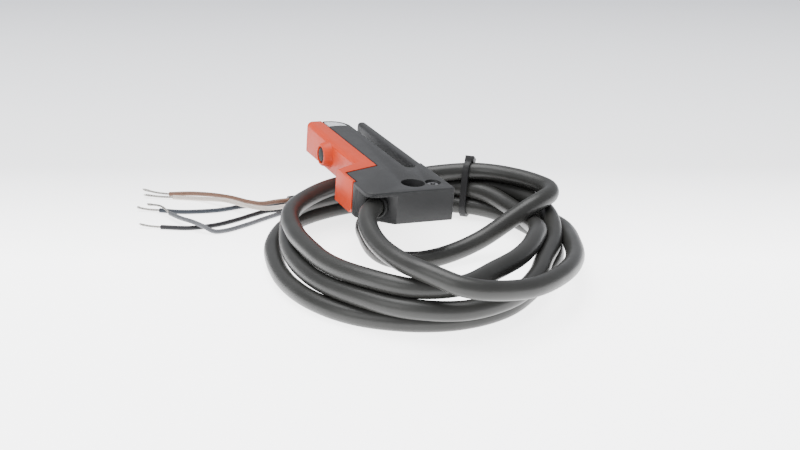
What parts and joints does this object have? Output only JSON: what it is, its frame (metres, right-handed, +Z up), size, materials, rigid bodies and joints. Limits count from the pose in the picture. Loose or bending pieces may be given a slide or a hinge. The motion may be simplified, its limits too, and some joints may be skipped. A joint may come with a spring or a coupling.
{
  "type": "fork sensor",
  "caption": "Photoelectric fork sensor with a narrow slot between two arms, an orange side cover with a teach button, a coiled and tied cable and bared wire ends.",
  "frame": {"origin": "middle of the base's underside, on the bottom cover, as the sensor hangs over its coil", "axes": "+X across the two arms from the orange cover to the narrow arm, +Y from the cable end along the arms to their tips, +Z up; the sensor itself leans 4.4 degrees about +Y, its narrow-arm side down"},
  "size_m": [0.1067, 0.1303, 0.024],
  "materials": {
    "housing": "fine satin moulding, dark grey to black",
    "cover": "satin orange-red moulding",
    "button": "dark grey, slightly domed",
    "seal": "matt black",
    "switch": "plain plated can",
    "window": "milky white diffuser",
    "lamp": "clear moulding",
    "board": "green laminate",
    "film": "amber film",
    "chip": "black moulding",
    "lens": "dark red filter plastic",
    "screw": "plated",
    "jacket": "satin black sheath",
    "tie": "black",
    "conductor": "tinned strands",
    "wire_brown": "satin insulation",
    "wire_white": "satin insulation",
    "wire_grey": "satin insulation",
    "wire_black": "satin insulation",
    "wire_blue": "satin insulation"
  },
  "bodies": {
    "housing": {"bottom_cover": "housing", "button_seal": "seal", "cable_coil": "jacket", "cable_end": "jacket", "cable_gland": "seal", "cable_lead": "jacket", "cable_tie": "tie", "circuit_board": "board", "conductor_black": "conductor", "conductor_blue": "conductor", "conductor_brown": "conductor", "conductor_grey": "conductor", "conductor_white": "conductor", "cover_screw": "screw", "emitter_board": "board", "emitter_led": "lamp", "emitter_lens": "lens", "fork_housing": "housing", "indicator_led": "lamp", "indicator_window": "window", "inner_core_black": "wire_black", "inner_core_blue": "wire_blue", "inner_core_brown": "wire_brown", "inner_core_grey": "wire_grey", "inner_core_white": "wire_white", "link_film": "film", "output_driver": "chip", "receiver_lens": "lens", "receiver_photodiode": "chip", "side_cover": "cover", "signal_processor": "chip", "tactile_switch": "switch", "wire_black": "wire_black", "wire_blue": "wire_blue", "wire_brown": "wire_brown", "wire_grey": "wire_grey", "wire_white": "wire_white"},
    "button": {"teach_button": "button", "switch_plunger": "button"}
  },
  "joints": [
    {"name": "teach_press", "type": "slide", "parent": "housing", "child": "button", "axis": [0.9971, 0, -0.0767], "range_m": [0, 0.0005], "stiffness_N_per_m": 1000}
  ]
}
